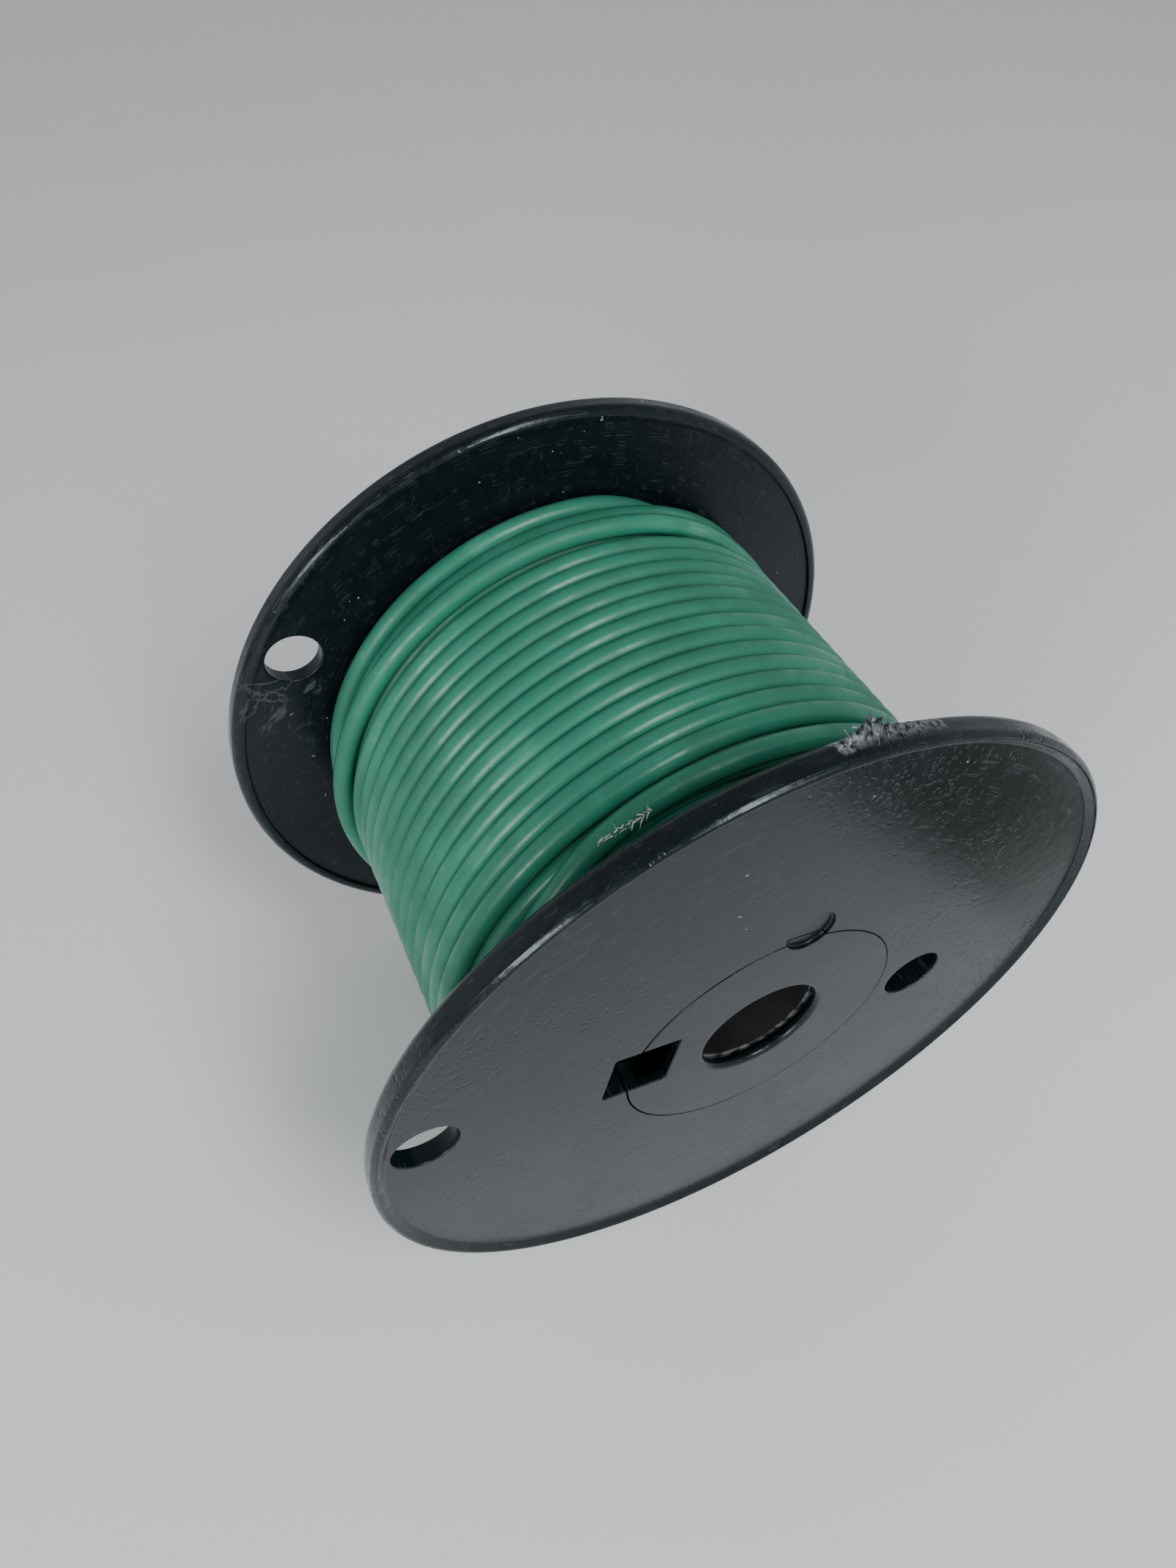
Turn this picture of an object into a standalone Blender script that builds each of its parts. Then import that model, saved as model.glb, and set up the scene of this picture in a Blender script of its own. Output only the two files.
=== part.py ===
"""Plastic wire spool wound with green insulated wire, lying on the rims of its two flanges.

The spool's axis runs along Y, with the near flange towards -Y.  Z is up and z = 0 is the
surface that both rims rest on.  Lengths are in metres, and a depth is measured inwards from
a flange's outermost plane.
"""
import math

import bmesh
import bpy
from mathutils import Matrix, Vector

MM = 0.001
GAP = 0.3 * MM                      # clearance left between pieces that touch
SEGMENTS = 48                       # facets round every turned piece
HOLE_SEGMENTS = 24
CORE_SEGMENTS = 16
SMOOTH_ANGLE = math.radians(35)

# Flange: a thin plate with a bead rolled round its rim and a boss round its bore
FLANGE_RADIUS = 50.8 * MM
SPOOL_LENGTH = 70.2 * MM
RIM_WIDTH = 3.8 * MM
RIM_FLAT = 1.0 * MM                 # narrow land round the rim, between its two rounded edges
RIM_ROUND = (RIM_WIDTH - RIM_FLAT) / 2
BEAD_INNER_RADIUS = 48.95 * MM      # the bead slopes up from here
BEAD_CREST_RADIUS = 50.2 * MM       # to here, the outermost point of its side
FACE_DEPTH = 0.9 * MM
PLATE_THICKNESS = 2.4 * MM
BOSS_RADIUS = 32.2 * MM
BOSS_THICKNESS = 5.5 * MM
HUB_RADIUS = 18.9 * MM              # outside of the hub caps and of the barrel

# Holes of a flange and its hub cap, all on one diameter except the dimple
RIM_HOLE_RADIUS = 3.95 * MM
RIM_HOLE_CENTRE = 44.5 * MM
DRIVE_HOLE_RADIUS = 4.25 * MM
DRIVE_HOLE_CENTRE = 25.4 * MM
SLOT_SIDE = 8.9 * MM
SLOT_CENTRE = 17.4 * MM
DIMPLE_RADIUS = 3.3 * MM
DIMPLE_CENTRE = 20.4 * MM
DIMPLE_DEPTH = 0.6 * MM
NEAR_HOLE_ANGLE = math.radians(168.0)   # of the diameter, from +X towards +Z
FAR_HOLE_ANGLE = math.radians(148.4)

# Hub: two caps, the barrel between them and the arbor tube inside
ARBOR_HOLE_RADIUS = 8.2 * MM
CAP_THICKNESS = 1.1 * MM
CAP_SKIRT_WALL = 1.6 * MM
COLLAR_WALL = 1.1 * MM
COLLAR_DEPTH = FACE_DEPTH + 5.2 * MM
BARREL_WALL = 3.3 * MM
BARREL_END_DEPTH = FACE_DEPTH + 4.06 * MM
ARBOR_TUBE_INNER = 8.6 * MM
ARBOR_TUBE_WALL = 1.2 * MM
ARBOR_TUBE_DEPTH = FACE_DEPTH + CAP_THICKNESS + 0.8 * MM

# Wire: its layers lie 0.9 of a diameter apart, because turns cross and don't nest fully
WIRE_DIAMETER = 2.92 * MM
CONDUCTOR_DIAMETER = 1.9 * MM
LAYER_STEP = 0.9 * WIRE_DIAMETER
BARREL_CLEARANCE = 0.1 * MM
FIRST_LAYER_RADIUS = HUB_RADIUS + WIRE_DIAMETER / 2 + BARREL_CLEARANCE
LAYERS = 7
LAYERS_ON_BOSS = 5                  # these lie between the two bosses
LOOSE_CLEARANCE = 0.15 * MM         # of the loose turns to the layer they lie on
TAIL_CLEARANCE = 0.25 * MM          # of the tail to the loose turns
VALLEY_EDGE = -17.8 * MM            # the top layer stops here, short of the near flange
UNDER_EDGE = -20.0 * MM             # and the layer under it here
GROOVE = (20.3 * MM, 25.3 * MM)     # hollow in the top layer, under the raised turn
RAISED_TURN = (22.3 * MM, 38.5 * MM)
LOOSE_TURNS = (-21.8 * MM, -24.9 * MM, -28.0 * MM)
TURN_SIDES = 8
TAIL_START_ANGLE = math.radians(-128.0)
TAIL_SWEEP = math.radians(38.0)
TAIL_POINTS = 14
CORE_LENGTH = 5.0 * MM

HALF_LENGTH = SPOOL_LENGTH / 2
AXIS_HEIGHT = FLANGE_RADIUS * math.cos(math.pi / SEGMENTS)
PLATE_INNER_DEPTH = FACE_DEPTH + PLATE_THICKNESS
BOSS_INNER_DEPTH = FACE_DEPTH + BOSS_THICKNESS
TURN_RADIUS = WIRE_DIAMETER / 2 - GAP / 2


def clear_scene():
    for item in list(bpy.data.objects):
        bpy.data.objects.remove(item, do_unlink=True)


def material(name, colour, roughness, metallic=0.0):
    made = bpy.data.materials.new(name)
    made.use_nodes = True
    shader = made.node_tree.nodes["Principled BSDF"]
    shader.inputs["Base Color"].default_value = (*colour, 1.0)
    shader.inputs["Roughness"].default_value = roughness
    shader.inputs["Metallic"].default_value = metallic
    return made


def add_object(name, mesh, finish=None):
    """Put a mesh in the scene with its origin on the spool's axis."""
    made = bpy.data.objects.new(name, mesh)
    bpy.context.scene.collection.objects.link(made)
    made.location = (0, 0, AXIS_HEIGHT)
    if finish:
        mesh.materials.append(finish)
        mesh.shade_smooth()
        mesh.set_sharp_from_angle(angle=SMOOTH_ANGLE)
    return made


def ring_of_sections(sections, closed):
    """Skin a list of equal point loops; the ends are capped unless the ring is closed."""
    bm = bmesh.new()
    loops = [[bm.verts.new(point) for point in section] for section in sections]
    count = len(loops[0])
    pairs = len(loops) if closed else len(loops) - 1
    for i in range(pairs):
        here, there = loops[i], loops[(i + 1) % len(loops)]
        for j in range(count):
            k = (j + 1) % count
            bm.faces.new((here[j], here[k], there[k], there[j]))
    if not closed:
        bm.faces.new(loops[0])
        bm.faces.new(loops[-1])
    bmesh.ops.recalc_face_normals(bm, faces=bm.faces)
    mesh = bpy.data.meshes.new("mesh")
    bm.to_mesh(mesh)
    bm.free()
    return mesh


def turned(name, profile, finish):
    """Turn a closed (radius, y) profile round the spool's axis, with flats below and above."""
    sections = []
    for i in range(SEGMENTS):
        angle = 2 * math.pi * (i + 0.5) / SEGMENTS
        sections.append([(r * math.cos(angle), y, r * math.sin(angle)) for r, y in profile])
    return add_object(name, ring_of_sections(sections, closed=True), finish)


def tube_profile(inner, outer, y_low, y_high):
    return [(inner, y_low), (outer, y_low), (outer, y_high), (inner, y_high)]


def cut(piece, cutter):
    cutter.hide_render = True
    cutter.display_type = "WIRE"
    boolean = piece.modifiers.new(cutter.name, "BOOLEAN")
    boolean.operation = "DIFFERENCE"
    boolean.solver = "EXACT"
    boolean.object = cutter


def place_cutter(name, bm, radius, angle, y):
    """Stand a cutter made along Z across the face, at a radius and angle from the axis."""
    mesh = bpy.data.meshes.new(name)
    upright = Matrix.Rotation(math.pi / 2, 4, "X")
    turn = Matrix.Rotation(-angle, 4, "Y")
    bm.transform(turn @ Matrix.Translation((radius, y, 0)) @ upright)
    bm.to_mesh(mesh)
    bm.free()
    return add_object(name, mesh)


def round_cutter(name, hole_radius, radius, angle, y, depth):
    bm = bmesh.new()
    bmesh.ops.create_cone(bm, cap_ends=True, segments=HOLE_SEGMENTS, radius1=hole_radius,
                          radius2=hole_radius, depth=depth)
    return place_cutter(name, bm, radius, angle, y)


def square_cutter(name, side, radius, angle, y, depth):
    bm = bmesh.new()
    bmesh.ops.create_cube(bm, size=1.0)
    bmesh.ops.scale(bm, vec=(side, side, depth), verts=bm.verts)
    return place_cutter(name, bm, radius, angle, y)


def flange_profile(side):
    """Half section of a flange: bore, face, rolled bead, inner face and boss."""
    def at(radius, depth):
        return radius, side * (HALF_LENGTH - depth)

    outer_edge = (BEAD_CREST_RADIUS, RIM_ROUND, -90)
    inner_edge = (FLANGE_RADIUS - RIM_ROUND, RIM_WIDTH - RIM_ROUND, 0)
    outline = [at(HUB_RADIUS + GAP, FACE_DEPTH), at(BEAD_INNER_RADIUS, FACE_DEPTH)]
    for crown, edge_centre, first_tilt in (outer_edge, inner_edge):
        for step in range(3):
            tilt = math.radians(first_tilt + 45 * step)
            outline.append(at(crown + (FLANGE_RADIUS - crown) * math.cos(tilt),
                              edge_centre + RIM_ROUND * math.sin(tilt)))
    outline += [at(BEAD_INNER_RADIUS, PLATE_INNER_DEPTH),
                at(BOSS_RADIUS, PLATE_INNER_DEPTH),
                at(BOSS_RADIUS, BOSS_INNER_DEPTH),
                at(HUB_RADIUS + GAP, BOSS_INNER_DEPTH)]
    return outline


def hub_cap_profile(side):
    """Half section of a hub cap: end plate, skirt on the barrel and collar for the tube."""
    def at(radius, depth):
        return radius, side * (HALF_LENGTH - depth)

    plate_back = FACE_DEPTH + CAP_THICKNESS
    skirt_end = BARREL_END_DEPTH - GAP
    collar_inner = ARBOR_TUBE_INNER + ARBOR_TUBE_WALL + GAP
    return [at(ARBOR_HOLE_RADIUS, FACE_DEPTH),
            at(HUB_RADIUS, FACE_DEPTH),
            at(HUB_RADIUS, skirt_end),
            at(HUB_RADIUS - CAP_SKIRT_WALL, skirt_end),
            at(HUB_RADIUS - CAP_SKIRT_WALL, plate_back),
            at(collar_inner + COLLAR_WALL, plate_back),
            at(collar_inner + COLLAR_WALL, COLLAR_DEPTH),
            at(collar_inner, COLLAR_DEPTH),
            at(collar_inner, plate_back),
            at(ARBOR_HOLE_RADIUS, plate_back)]


def build_end(label, side, hole_angle, dimple_angle, plastic):
    """One end of the spool: a flange and its hub cap, with their shared holes."""
    flange = turned(label + "_flange", flange_profile(side), plastic)
    cap = turned(label + "_hub_cap", hub_cap_profile(side), plastic)
    middle = side * HALF_LENGTH
    through = 4 * BOSS_THICKNESS        # far enough each way to pass the whole boss
    rim_hole = round_cutter(label + "_rim_hole", RIM_HOLE_RADIUS, RIM_HOLE_CENTRE,
                            hole_angle, middle, through)
    drive_hole = round_cutter(label + "_drive_hole", DRIVE_HOLE_RADIUS, DRIVE_HOLE_CENTRE,
                              hole_angle + math.pi, middle, through)
    slot = square_cutter(label + "_slot", SLOT_SIDE, SLOT_CENTRE, hole_angle, middle,
                         2 * BARREL_END_DEPTH)
    dimple = round_cutter(label + "_dimple", DIMPLE_RADIUS, DIMPLE_CENTRE, dimple_angle,
                          middle, 2 * (FACE_DEPTH + DIMPLE_DEPTH))
    for cutter in (rim_hole, drive_hole, slot, dimple):
        cut(flange, cutter)
    for cutter in (slot, dimple):
        cut(cap, cutter)


def build_core(plastic):
    barrel_half = HALF_LENGTH - BARREL_END_DEPTH
    turned("barrel", tube_profile(HUB_RADIUS - BARREL_WALL, HUB_RADIUS,
                                  -barrel_half, barrel_half), plastic)
    tube_half = HALF_LENGTH - ARBOR_TUBE_DEPTH
    turned("arbor_tube", tube_profile(ARBOR_TUBE_INNER, ARBOR_TUBE_INNER + ARBOR_TUBE_WALL,
                                      -tube_half, tube_half), plastic)


def layer_radius(number):
    return FIRST_LAYER_RADIUS + (number - 1) * LAYER_STEP


def build_inner_layers(insulation):
    """The layers under the top one, each a plain ring as thick as the nesting allows."""
    half_thickness = (LAYER_STEP - GAP) / 2
    for number in range(1, LAYERS):
        depth = BOSS_INNER_DEPTH if number <= LAYERS_ON_BOSS else PLATE_INNER_DEPTH
        reach = HALF_LENGTH - depth - GAP
        start = UNDER_EDGE if number == LAYERS - 1 else -reach
        middle = layer_radius(number)
        profile = tube_profile(middle - half_thickness, middle + half_thickness, start, reach)
        turned("wire_layer_%d" % number, profile, insulation)


def build_top_layer(insulation):
    """The top layer: a ridge for each close turn, a groove, and the turn at the far flange."""
    middle = layer_radius(LAYERS)
    inner = middle - (LAYER_STEP - GAP) / 2
    crest = middle + WIRE_DIAMETER / 2
    valley = middle + WIRE_DIAMETER / 4
    reach = HALF_LENGTH - PLATE_INNER_DEPTH - GAP
    turns = int((GROOVE[0] - VALLEY_EDGE) / WIRE_DIAMETER)
    pitch = (GROOVE[0] - VALLEY_EDGE) / turns
    profile = [(inner, VALLEY_EDGE), (valley, VALLEY_EDGE)]
    for turn in range(turns):
        profile.append((crest, VALLEY_EDGE + (turn + 0.5) * pitch))
        profile.append((valley, VALLEY_EDGE + (turn + 1) * pitch))
    profile += [(middle, GROOVE[0] + GAP), (middle, GROOVE[1]),
                (crest, (GROOVE[1] + reach) / 2), (crest, reach - WIRE_DIAMETER / 2),
                (valley, reach), (inner, reach)]
    turned("wire_layer_%d" % LAYERS, profile, insulation)


def turn_profile(y, radius):
    """Eight-sided section of one turn of wire, with a flat towards the axis."""
    points = []
    for side in range(TURN_SIDES):
        tilt = 2 * math.pi * (side + 0.5) / TURN_SIDES
        points.append((radius + TURN_RADIUS * math.cos(tilt), y + TURN_RADIUS * math.sin(tilt)))
    return points


def build_separate_turns(insulation):
    """The raised turn by the far flange and the loose ones in the valley by the near one."""
    turned("wire_raised_turn", turn_profile(*RAISED_TURN), insulation)
    bed = layer_radius(LAYERS - 1) + LOOSE_CLEARANCE
    for number, y in enumerate(LOOSE_TURNS, start=1):
        turned("wire_loose_turn_%d" % number, turn_profile(y, bed), insulation)


def build_tail(insulation, copper):
    """The wire's outer end: it lies in the valley, on the loose turns, and shows its core."""
    bed = layer_radius(LAYERS - 1) + WIRE_DIAMETER + TAIL_CLEARANCE
    y = LOOSE_TURNS[1]
    sections = []
    for i in range(TAIL_POINTS):
        angle = TAIL_START_ANGLE + TAIL_SWEEP * i / (TAIL_POINTS - 1)
        sections.append([(r * math.cos(angle), across, r * math.sin(angle))
                         for r, across in turn_profile(y, bed)])
    add_object("wire_tail", ring_of_sections(sections, closed=False), insulation)
    end = TAIL_START_ANGLE + TAIL_SWEEP
    centre = Vector((bed * math.cos(end), y, bed * math.sin(end)))
    along = Vector((-math.sin(end), 0, math.cos(end)))
    bm = bmesh.new()
    bmesh.ops.create_cone(bm, cap_ends=True, segments=CORE_SEGMENTS, radius1=CONDUCTOR_DIAMETER / 2,
                          radius2=CONDUCTOR_DIAMETER / 2, depth=CORE_LENGTH)
    turn = along.to_track_quat("Z", "Y").to_matrix().to_4x4()
    offset = centre + along * (CORE_LENGTH / 2 + GAP)
    bm.transform(Matrix.Translation(offset) @ turn)
    mesh = bpy.data.meshes.new("tail_conductor")
    bm.to_mesh(mesh)
    bm.free()
    add_object("tail_conductor", mesh, copper)


def build():
    clear_scene()
    plastic = material("black_plastic", (0.018, 0.020, 0.023), 0.38)
    insulation = material("green_insulation", (0.035, 0.235, 0.145), 0.42)
    copper = material("copper_strands", (0.82, 0.42, 0.24), 0.30, 1.0)
    quarter = math.pi / 2
    build_end("near", -1, NEAR_HOLE_ANGLE, NEAR_HOLE_ANGLE - quarter, plastic)
    build_end("far", 1, FAR_HOLE_ANGLE, FAR_HOLE_ANGLE + quarter, plastic)
    build_core(plastic)
    build_inner_layers(insulation)
    build_top_layer(insulation)
    build_separate_turns(insulation)
    build_tail(insulation, copper)


build()
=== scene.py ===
import math

import bmesh
import bpy
import numpy as np
from mathutils import Matrix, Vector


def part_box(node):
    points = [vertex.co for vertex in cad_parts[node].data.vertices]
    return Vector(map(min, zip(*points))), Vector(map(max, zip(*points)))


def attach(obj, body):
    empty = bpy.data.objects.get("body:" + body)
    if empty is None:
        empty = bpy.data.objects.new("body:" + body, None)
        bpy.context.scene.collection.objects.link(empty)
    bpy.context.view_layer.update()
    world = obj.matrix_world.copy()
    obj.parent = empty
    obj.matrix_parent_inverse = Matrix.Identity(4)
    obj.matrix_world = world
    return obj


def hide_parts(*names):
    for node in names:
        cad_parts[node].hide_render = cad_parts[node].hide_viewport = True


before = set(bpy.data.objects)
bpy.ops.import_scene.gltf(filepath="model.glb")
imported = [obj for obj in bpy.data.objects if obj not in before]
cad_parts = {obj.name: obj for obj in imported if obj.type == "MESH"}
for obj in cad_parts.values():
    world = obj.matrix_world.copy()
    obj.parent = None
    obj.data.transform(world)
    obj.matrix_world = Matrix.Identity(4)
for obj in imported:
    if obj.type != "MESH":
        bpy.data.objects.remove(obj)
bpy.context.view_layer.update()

# --- Flanges -------------------------------------------------------------------------------
# Two moulded discs of glossy black plastic.  Each has a bead rolled round its rim, a boss
# behind the hub, a wire hole near the rim, a drive hole, a square slot and a shallow dimple.
MM = 0.001
low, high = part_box("near_flange")
AXIS_HEIGHT = (low[2] + high[2]) / 2
HALF_LENGTH = -low[1]
FLANGE_RADIUS = 50.8 * MM
FLANGE_BORE = 19.04 * MM
BEAD_FOOT = 48.95 * MM              # the bead slopes up from here
BEAD_CREST = 50.15 * MM             # to here
BEAD_WIDTH = 3.8 * MM
FACE_DEPTH = 0.9 * MM               # the face lies this far behind the bead
PLATE_BACK = FACE_DEPTH + 2.4 * MM
BOSS_RADIUS = 32.2 * MM
BOSS_BACK = FACE_DEPTH + 5.5 * MM
BARREL_END = FACE_DEPTH + 4.06 * MM    # the slot's floor is level with the barrel's end
HOLE_LIP = 0.22 * MM                # rounding of a hole's edges
RIM_HOLE_RADIUS, RIM_HOLE_CENTRE = 3.95 * MM, 44.5 * MM
DRIVE_HOLE_RADIUS, DRIVE_HOLE_CENTRE = 4.25 * MM, 25.4 * MM
SLOT_HALF, SLOT_CORNER, SLOT_CENTRE = 4.45 * MM, 0.35 * MM, 17.4 * MM
DIMPLE_RADIUS, DIMPLE_CENTRE = 3.3 * MM, 20.4 * MM
DIMPLE_DEPTH, DIMPLE_FILLET = 0.58 * MM, 0.25 * MM
NEAR_DIAMETER_ANGLE = math.radians(168.0)
FAR_DIAMETER_ANGLE = math.radians(148.4)
BLACK = (0.0030, 0.0060, 0.0075, 1.0)
WORN_BLACK = (0.050, 0.058, 0.064, 1.0)
TORN_WHITE = (0.42, 0.45, 0.48, 1.0)


def grid_mesh(name, grids, closed):
    """Skins over grids of points (row, place in the row).  Each row is a closed loop; the rows
    also close on themselves, or else the first and last get a flat cap.  The map runs in
    metres: u is the length along the middle of the rows and v the length round a row."""
    vertices, faces, uvs, start = [], [], [], 0
    for points in grids:
        rows, columns = points.shape[:2]
        index = start + np.arange(rows * columns).reshape(rows, columns)
        u = np.append(0, np.cumsum(np.linalg.norm(np.diff(points.mean(1), axis=0), axis=1)))
        ring = np.linalg.norm(points - np.roll(points, 1, axis=1), axis=2).mean(0)
        v = np.append(0, np.cumsum(np.roll(ring, -1)))
        if closed:
            u = np.linspace(0, 2 * math.pi * FLANGE_RADIUS, rows + 1)
            index = np.vstack([index, index[:1]])
        looped = np.hstack([index, index[:, :1]])
        grid_u, grid_v = np.meshgrid(u, v, indexing="ij")
        place = np.stack([grid_u, grid_v], axis=-1)
        corners = ((slice(None, -1), slice(None, -1)), (slice(1, None), slice(None, -1)),
                   (slice(1, None), slice(1, None)), (slice(None, -1), slice(1, None)))
        faces += np.stack([looped[c] for c in corners], axis=-1).reshape(-1, 4).tolist()
        uvs.append(np.stack([place[c] for c in corners], axis=-2).reshape(-1, 2))
        if not closed:
            faces += [index[0].tolist(), index[-1].tolist()]
            uvs.append(np.stack([np.full(2 * columns, u[-1]), np.tile(v[:-1], 2)], axis=-1))
        vertices.append(points.reshape(-1, 3))
        start += rows * columns
    mesh = bpy.data.meshes.new(name)
    mesh.from_pydata(np.vstack(vertices).tolist(), [], faces)
    mesh.uv_layers.new(name="surface").data.foreach_set("uv", np.vstack(uvs).ravel())
    shape = bmesh.new()
    shape.from_mesh(mesh)
    bmesh.ops.recalc_face_normals(shape, faces=shape.faces)
    shape.to_mesh(mesh)
    shape.free()
    return mesh


def add_piece(name, mesh):
    made = bpy.data.objects.new(name, mesh)
    bpy.context.scene.collection.objects.link(made)
    mesh.shade_smooth()
    mesh.set_sharp_from_angle(angle=math.radians(38))
    return made


def finish_piece(made, material, slot, *nodes):
    made.data.materials.clear()
    made.data.materials.append(material)
    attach(made, "root")
    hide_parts(*nodes)


def rounded_outline(corners, steps=7):
    """Closed outline whose corners are arcs.  An arc's centre is on the corner's bisector, at
    rounding / sin(half the angle), and its ends are rounding / tan(half the angle) along the
    sides.  A support point beside each arc keeps the flats flat when shaded."""
    outline = []
    for k, (x, y, rounding) in enumerate(corners):
        here = np.array((x, y))
        sides = [np.array(corners[n % len(corners)][:2]) - here for n in (k - 1, k + 1)]
        lengths = [np.linalg.norm(side) for side in sides]
        before, after = sides[0] / lengths[0], sides[1] / lengths[1]
        half = math.acos(np.clip(before @ after, -1, 1)) / 2
        bisector = (before + after) / np.linalg.norm(before + after)
        centre = here + bisector * rounding / math.sin(half)
        reach = rounding / math.tan(half)
        share = np.linspace(0, 1, steps)[:, None]
        chord = (1 - share) * (here + before * reach) + share * (here + after * reach) - centre
        arc = centre + rounding * chord / np.linalg.norm(chord, axis=1, keepdims=True)
        support = [min(0.15 * MM, 0.1 * length) for length in lengths]
        outline += [here + before * (reach + support[0]), *arc,
                    here + after * (reach + support[1])]
    return np.array(outline)


def turned(outline, side, angles):
    """Outline points (radius, depth) turned round the spool's axis: x = radius cos(angle),
    y = side (half length - depth), z = axis height + radius sin(angle)."""
    radius, depth = outline.T
    across = side * (HALF_LENGTH - depth) * np.ones((len(angles), 1))
    return np.stack([radius * np.cos(angles)[:, None], across,
                     AXIS_HEIGHT + radius * np.sin(angles)[:, None]], axis=-1)


def bore_tool(name, half_width, corner, distance, angle, side, depths, swells):
    """A tool that bores a hole: its section is a square of half_width with corners of radius
    corner (a circle when they are equal), swollen by swells at each of the depths."""
    t = 2 * math.pi * (np.arange(72) + 0.5) / 72
    flat = half_width - corner
    reach = corner + np.array(swells)[:, None]
    outwards = distance + flat * np.sign(np.cos(t)) + reach * np.cos(t)
    sideways = flat * np.sign(np.sin(t)) + reach * np.sin(t)
    across = side * (HALF_LENGTH - np.array(depths))[:, None] * np.ones(len(t))
    points = np.stack([outwards * math.cos(angle) - sideways * math.sin(angle), across,
                       AXIS_HEIGHT + outwards * math.sin(angle) + sideways * math.cos(angle)],
                      axis=-1)
    return add_piece(name, grid_mesh(name, [points], closed=False))


def through_tool(name, half_width, corner, distance, angle, side, back):
    """A hole right through, whose lip is a quarter round at the face and at the back."""
    quarter = np.linspace(0, math.pi / 2, 6)
    dip, swell = HOLE_LIP * (1 - np.cos(quarter)), HOLE_LIP * (1 - np.sin(quarter))
    depths = np.concatenate([[-2 * MM], FACE_DEPTH + dip, back - dip[::-1], [back + 2 * MM]])
    swells = np.concatenate([[HOLE_LIP], swell, swell[::-1], [HOLE_LIP]])
    return bore_tool(name, half_width, corner, distance, angle, side, depths, swells)


def slot_tool(name, angle, side):
    """The square slot: a quarter round lip at the face, then straight to a flat floor."""
    quarter = np.linspace(0, math.pi / 2, 6)
    depths = np.concatenate([[-2 * MM], FACE_DEPTH + HOLE_LIP * (1 - np.cos(quarter)),
                             [BARREL_END]])
    swells = np.concatenate([[HOLE_LIP], HOLE_LIP * (1 - np.sin(quarter)), [0]])
    return bore_tool(name, SLOT_HALF, SLOT_CORNER, SLOT_CENTRE, angle, side, depths, swells)


def dimple_tool(name, angle, side):
    """A shallow pocket with a rounded floor edge: the radius shrinks by a quarter round."""
    quarter = np.linspace(0, math.pi / 2, 6)
    depths = np.concatenate([[-2 * MM, FACE_DEPTH, FACE_DEPTH + 0.08 * MM],
                             FACE_DEPTH + DIMPLE_DEPTH - DIMPLE_FILLET * (1 - np.sin(quarter))])
    swells = np.concatenate([[0.08 * MM, 0.08 * MM, 0], -DIMPLE_FILLET * (1 - np.cos(quarter))])
    return bore_tool(name, DIMPLE_RADIUS, DIMPLE_RADIUS, DIMPLE_CENTRE, angle, side, depths,
                     swells)


def bore(piece, tools):
    for tool in tools:
        cut = piece.modifiers.new(tool.name, "BOOLEAN")
        cut.operation = "DIFFERENCE"
        cut.solver = "EXACT"
        cut.object = tool
    evaluated = piece.evaluated_get(bpy.context.evaluated_depsgraph_get())
    whole, piece.data = piece.data, bpy.data.meshes.new_from_object(evaluated)
    piece.modifiers.clear()
    bpy.data.meshes.remove(whole)
    for tool in tools:
        bpy.data.objects.remove(tool)
    piece.data.shade_smooth()
    piece.data.set_sharp_from_angle(angle=math.radians(38))
    smooth = piece.modifiers.new("flat faces", "WEIGHTED_NORMAL")
    smooth.keep_sharp = True


def hub_tools(label, side, angle):
    """The slot and the dimple, which both cross the joint of the flange and the hub cap."""
    slot = slot_tool(label + "_slot", angle, side)
    dimple = dimple_tool(label + "_dimple", angle + side * math.pi / 2, side)
    return [slot, dimple]


# The near rim is torn at the top: plastic dragged along it stands up in a ragged fin
TEAR = (math.radians(72.0), math.radians(85.8))
FIN_SHAPE = ((72.0, 79.0, 81.2, 82.4, 83.3, 84.6, 85.8), (0.0, 0.5, 1.0, 2.4, 1.8, 0.6, 0.0))


def fin_height(angle):
    """Height of the torn fin: straight between FIN_SHAPE's (angle, height) points, made ragged
    by two sines of the angle."""
    smooth = np.interp(np.degrees(angle), *FIN_SHAPE) * MM
    return smooth * (1 + 0.22 * np.sin(640 * angle) + 0.16 * np.sin(1450 * angle + 1))


def tear_rim(mesh):
    """Draw the vertices of the rim's inner shoulder out into the fin: a bell-shaped share of
    the fin's height, by depth.  The weight for the white finish is kept as an attribute: it
    is largest at the fin's steep end and along the shoulder."""
    points = np.empty(3 * len(mesh.vertices))
    mesh.vertices.foreach_get("co", points)
    points = points.reshape(-1, 3)
    angle = np.arctan2(points[:, 2] - AXIS_HEIGHT, points[:, 0])
    radius = np.hypot(points[:, 2] - AXIS_HEIGHT, points[:, 0])
    depth = HALF_LENGTH + points[:, 1]
    on_rim = np.clip((radius - 49.6 * MM) / (0.5 * MM), 0, 1)
    share = np.exp(-((depth - 2.75 * MM) / (0.55 * MM)) ** 2) * on_rim
    rise = fin_height(angle) * share
    points[:, 0] += rise * points[:, 0] / radius
    points[:, 2] += rise * (points[:, 2] - AXIS_HEIGHT) / radius
    points[:, 1] += 0.25 * rise * np.sin(410 * angle)
    mesh.vertices.foreach_set("co", points.ravel())
    steep_end = np.exp(-((angle - TEAR[1]) / math.radians(0.9)) ** 2)
    shoulder = np.clip((depth - 1.3 * MM) / (0.5 * MM), 0, 1) * on_rim
    inside = (angle > TEAR[0]) & (angle < TEAR[1] + math.radians(1.2))
    weight = np.clip(shoulder * inside * (0.35 + steep_end), 0, 1)
    mesh.attributes.new("torn", "FLOAT", "POINT").data.foreach_set("value", weight)


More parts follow.
